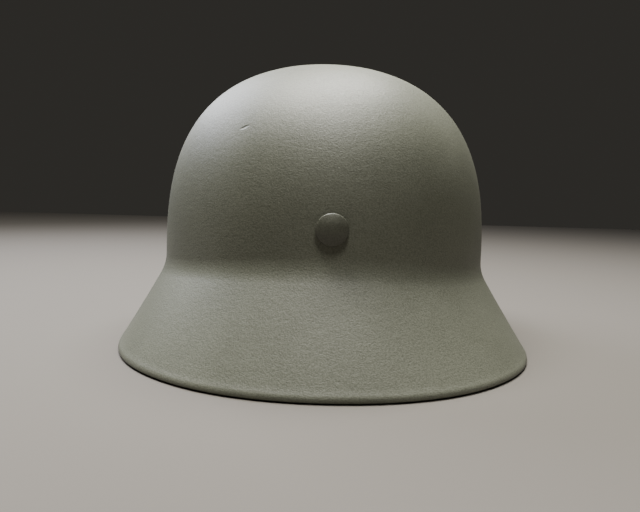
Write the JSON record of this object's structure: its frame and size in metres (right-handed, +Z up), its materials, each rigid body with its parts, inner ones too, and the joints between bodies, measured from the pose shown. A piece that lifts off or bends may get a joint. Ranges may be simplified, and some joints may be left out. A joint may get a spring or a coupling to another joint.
{
  "type": "steel helmet",
  "caption": "Pressed steel combat helmet with flared skirt, rolled rim, riveted two-band spring liner with leather fingers, and an open leather chinstrap with buckle.",
  "frame": {"origin": "centre of the helmet's plan box, on the ground that its rim stands on", "axes": "+Y towards the visor, +X to the wearer's right, +Z up"},
  "size_m": [0.2382, 0.2943, 0.165],
  "materials": {
    "enamelled_steel": "matt, fine-grained grey-green enamel",
    "enamelled_fittings": "matt grey-green enamel",
    "zinc_steel": "dull zinc plate",
    "spring_steel": "blued",
    "wool_felt": "grey felt",
    "liner_leather": "vegetable-tanned, worn smooth",
    "strap_leather": "dark waxed",
    "bail_wire": "dull plated wire",
    "aluminium_pins": "dull"
  },
  "bodies": {
    "helmet": {"shell": "enamelled_steel", "vent_bushing_left": "enamelled_fittings", "vent_bushing_right": "enamelled_fittings", "rear_rivet": "enamelled_fittings", "front_left_rivet": "enamelled_fittings", "front_right_rivet": "enamelled_fittings", "rear_washer": "zinc_steel", "front_left_washer": "zinc_steel", "front_right_washer": "zinc_steel", "outer_band": "zinc_steel", "inner_band": "zinc_steel", "spring_front": "spring_steel", "spring_left_front": "spring_steel", "spring_left_rear": "spring_steel", "spring_right_front": "spring_steel", "spring_right_rear": "spring_steel", "spring_rivets": "zinc_steel", "brow_felt": "wool_felt", "leather_liner": "liner_leather", "liner_pins": "aluminium_pins", "bail_clip_left": "zinc_steel", "bail_clip_right": "zinc_steel", "clip_rivets": "zinc_steel"},
    "left_bail": {"bail_left": "bail_wire"},
    "right_bail": {"bail_right": "bail_wire"},
    "short_half": {"short_strap": "strap_leather", "short_strap_stud": "aluminium_pins", "buckle_frame": "bail_wire"},
    "prong": {"buckle_prong": "bail_wire"},
    "long_half": {"long_strap": "strap_leather", "long_strap_stud": "aluminium_pins"}
  },
  "joints": [
    {"name": "right_bail_swing", "type": "hinge", "parent": "helmet", "child": "right_bail", "pos_m": [0.09277, 0, 0.05929], "axis": [0, 1, 0], "range_deg": [0, 45]},
    {"name": "left_bail_swing", "type": "hinge", "parent": "helmet", "child": "left_bail", "pos_m": [-0.09277, 0, 0.05929], "axis": [0, -1, 0], "range_deg": [0, 45]},
    {"name": "long_half_swing", "type": "hinge", "parent": "right_bail", "child": "long_half", "pos_m": [0.09277, 0, 0.04529], "axis": [0, 1, 0], "range_deg": [-8, 35]},
    {"name": "short_half_swing", "type": "hinge", "parent": "left_bail", "child": "short_half", "pos_m": [-0.09277, 0, 0.04529], "axis": [0, -1, 0], "range_deg": [-8, 35]},
    {"name": "prong_tilt", "type": "hinge", "parent": "short_half", "child": "prong", "pos_m": [-0.02522, 0, 0.0037], "axis": [0, -1, 0], "range_deg": [0, 95]}
  ]
}
